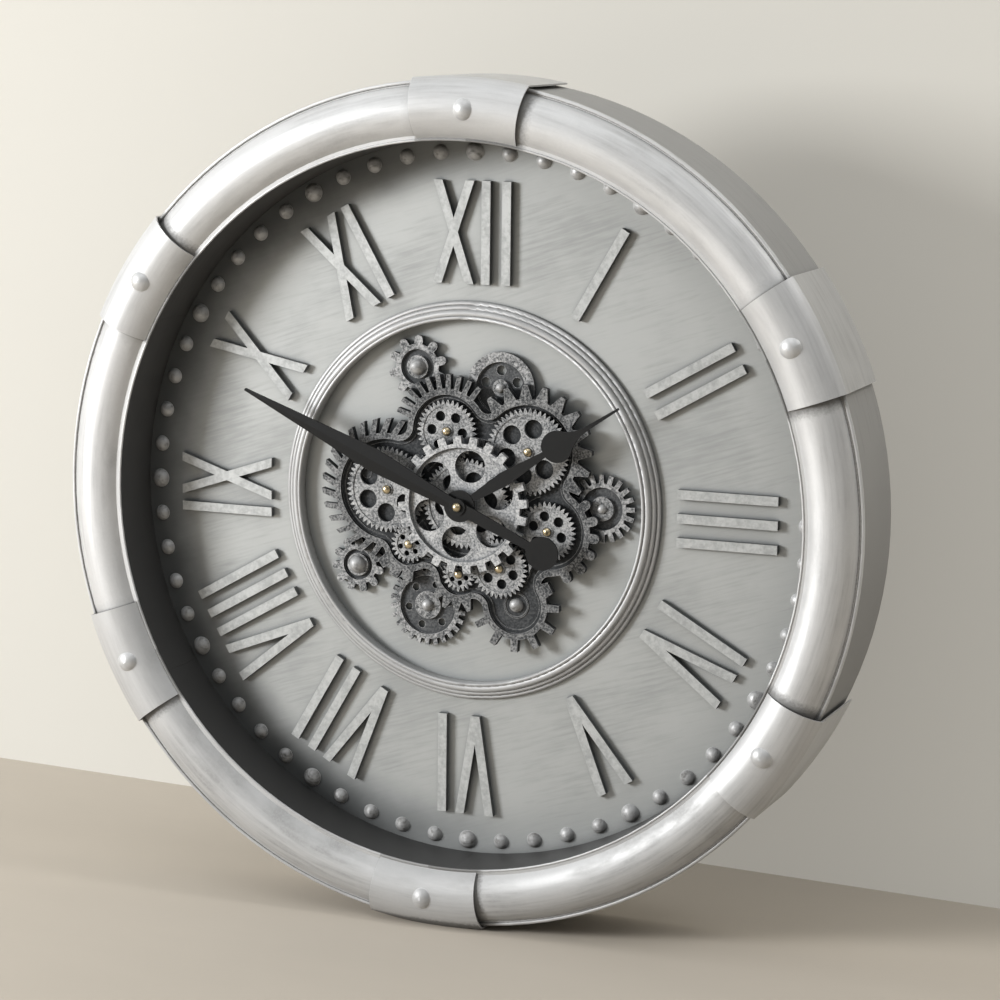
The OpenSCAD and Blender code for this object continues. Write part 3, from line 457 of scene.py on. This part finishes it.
FINISH = {
    "case_drum": DRUM, "bezel_tube": LEAF, "inner_wall": WALL, "strap_rivets": STRAP,
    "dial_plate": DIAL, "hour_rivets": RIVET, "minute_rivets": RIVET, "inner_ring": RING,
    "backdrop_disc": DISC, "gear_bed": BED, "star_gear": FIXED, "hoop_ring": FIXED,
    "comb_gear": FIXED, "cog_gear": FIXED, "dish_gear": FIXED, "dome_rivets": RIVET,
    "gear_posts": BRASS, "front_wheel": FRONT, "drive_wheel": GEAR, "motor_shaft": BRASS,
    "gear_motor": ZINC, "movement_case": PLASTIC, "stem_nut": BRASS, "hour_hand": BLACK,
    "minute_hand": BLACK, "hand_nut": BRASS, "set_knob": PLASTIC, "aa_cells": CELL,
    "back_panel": BOARD, "battery_box": PLASTIC, "motor_leads": LEAD, "power_switch": SWITCH,
    "hanger_plate": ZINC, "panel_screws": ZINC,
}
for node in NODES:
    if node.startswith("strap_") and node not in FINISH:
        FINISH[node] = STRAP
    elif node.startswith("numeral_"):
        FINISH[node] = NUMERAL
    elif node.endswith(("_gear", "_pinion")) and node not in FINISH:
        FINISH[node] = GEAR

for node, ob in NODES.items():
    if not ob.material_slots:
        ob.data.materials.append(FINISH[node])
    for slot in ob.material_slots:
        slot.material = FINISH[node]

# ---------- softened edges on the numerals' own solids ----------
NUMERAL_EDGE, SHARP_ANGLE = 0.0007, math.radians(35.0)

for node in NODES:
    if node.startswith("numeral_"):
        soft = NODES[node].modifiers.new("edge", "BEVEL")
        soft.width = NUMERAL_EDGE
        soft.segments = 2
        soft.limit_method = "ANGLE"
        soft.angle_limit = SHARP_ANGLE
        soft.harden_normals = False


# ---------- floor, wall and light ----------
def stage_plane(name, corners, mat):
    me = bpy.data.meshes.new(name)
    me.from_pydata(corners, [], [(0, 1, 2, 3)])
    me.materials.append(mat)
    ob = bpy.data.objects.new(name, me)
    bpy.context.scene.collection.objects.link(ob)


def plain(name, base, amount, stretch, one_way=False, glow=0.0):
    """Plain surface with faint clouds, clear from behind if it is one way."""
    m = Mat(name)
    x, y, z = m.parts(m.where())
    clouds = m.noise(m.join(m.mul(x, stretch), m.mul(y, 9.0), z), 1.0, detail=4.0, rough=0.6)
    colour = m.mix(clouds, *shades(base, 1 - amount, 1 + amount))
    m.put(m.bsdf.inputs["Emission Color"], colour)
    m.bsdf.inputs["Emission Strength"].default_value = glow
    if one_way:
        clear = m.nt.nodes.new("ShaderNodeBsdfTransparent")
        pick = m.nt.nodes.new("ShaderNodeMixShader")
        out = next(n for n in m.nt.nodes if n.type == "OUTPUT_MATERIAL")
        m.put_all(pick, (m.geo.outputs["Backfacing"], m.bsdf.outputs[0], clear.outputs[0]))
        m.put(out.inputs["Surface"], pick.outputs[0])
    return m.finish(colour, 0.85, 0.0)


# the pale wall stands a little askew behind the clock
WALL_Y, WALL_SLOPE, WALL_HEIGHT = DIAL_Y + 0.198, -0.0988, 5
REACH = 8.0
left_y, right_y = WALL_Y - REACH * WALL_SLOPE, WALL_Y + REACH * WALL_SLOPE
FLOOR = plain("floor_pale", (0.46, 0.41, 0.345), 0.05, 3.0)
BACKDROP = plain("wall_pale", (0.372, 0.358, 0.325), 0.02, 2.0, one_way=True, glow=0.68)
stage_plane("floor", [(-REACH, -REACH, FLOOR_Z), (REACH, -REACH, FLOOR_Z),
                      (REACH, REACH, FLOOR_Z), (-REACH, REACH, FLOOR_Z)], FLOOR)
stage_plane("wall", [(-REACH, left_y, FLOOR_Z), (REACH, right_y, FLOOR_Z),
                     (REACH, right_y, FLOOR_Z + WALL_HEIGHT),
                     (-REACH, left_y, FLOOR_Z + WALL_HEIGHT)], BACKDROP)


def area(name, place, target, size, watts, colour):
    """A soft rectangular lamp at place, turned to target."""
    data = bpy.data.lights.new(name, "AREA")
    data.shape = "RECTANGLE"
    data.size, data.size_y = size
    data.energy = watts
    data.color = colour
    ob = bpy.data.objects.new(name, data)
    ob.location = place
    ob.rotation_mode = "QUATERNION"
    ob.rotation_quaternion = (Vector(target) - Vector(place)).to_track_quat("-Z", "Y")
    bpy.context.scene.collection.objects.link(ob)


MIDDLE = (0, 0, 0)
DAYLIGHT, NEUTRAL = (0.985, 0.995, 1.0), (1, 1, 1)
area("key", (-2.50, -1.95, 0.72), MIDDLE, (0.9, 0.9), watts=126.0, colour=DAYLIGHT)
area("overhead", (0.1, -1.5, 2.7), MIDDLE, (1.8, 1.2), watts=9.0, colour=DAYLIGHT)
area("side", (1.70, -0.24, 1.80), (0.2, 0, 0.1), (0.3, 0.9), watts=8.0, colour=NEUTRAL)

# the room's light, as Background strength, and the directions over which it changes
ROOM_COLOUR = (0.95, 0.98, 1.0, 1.0)
ROOM_FRONT, ROOM_BESIDE, FRONT_TO_BESIDE = 0.034, 0.66, (-0.34, 0.05)
ROOM_RIGHT_GAIN, TO_RIGHT = 1.15, (0.0, 0.8)
ROOM_ABOVE, TO_ABOVE = 0.62, (0.0, 0.8)


def studio_world():
    """Soft room light: dim in front of the clock, bright beside it, to its right and overhead."""
    world = bpy.data.worlds.new("studio")
    world.use_nodes = True
    nt = world.node_tree
    back = nt.nodes["Background"]
    coord = nt.nodes.new("ShaderNodeTexCoord")
    split = nt.nodes.new("ShaderNodeSeparateXYZ")
    nt.links.new(coord.outputs["Generated"], split.inputs[0])
    to_x, to_y, to_z = split.outputs

    def ramp(value, span, out_lo, out_hi):
        n = nt.nodes.new("ShaderNodeMapRange")
        n.interpolation_type = "SMOOTHSTEP"
        nt.links.new(value, n.inputs[0])
        for k, v in enumerate((*span, out_lo, out_hi)):
            n.inputs[k + 1].default_value = v
        return n.outputs[0]

    def both(operation, a, b):
        n = nt.nodes.new("ShaderNodeMath")
        n.operation = operation
        nt.links.new(a, n.inputs[0])
        nt.links.new(b, n.inputs[1])
        return n.outputs[0]

    beside = ramp(to_y, FRONT_TO_BESIDE, ROOM_FRONT, ROOM_BESIDE)
    right = ramp(to_x, TO_RIGHT, 1.0, ROOM_RIGHT_GAIN)
    above = ramp(to_z, TO_ABOVE, 0.0, ROOM_ABOVE)
    nt.links.new(both("ADD", both("MULTIPLY", beside, right), above), back.inputs["Strength"])
    back.inputs["Color"].default_value = ROOM_COLOUR
    bpy.context.scene.world = world


studio_world()
bpy.context.scene.view_settings.view_transform = "Standard"
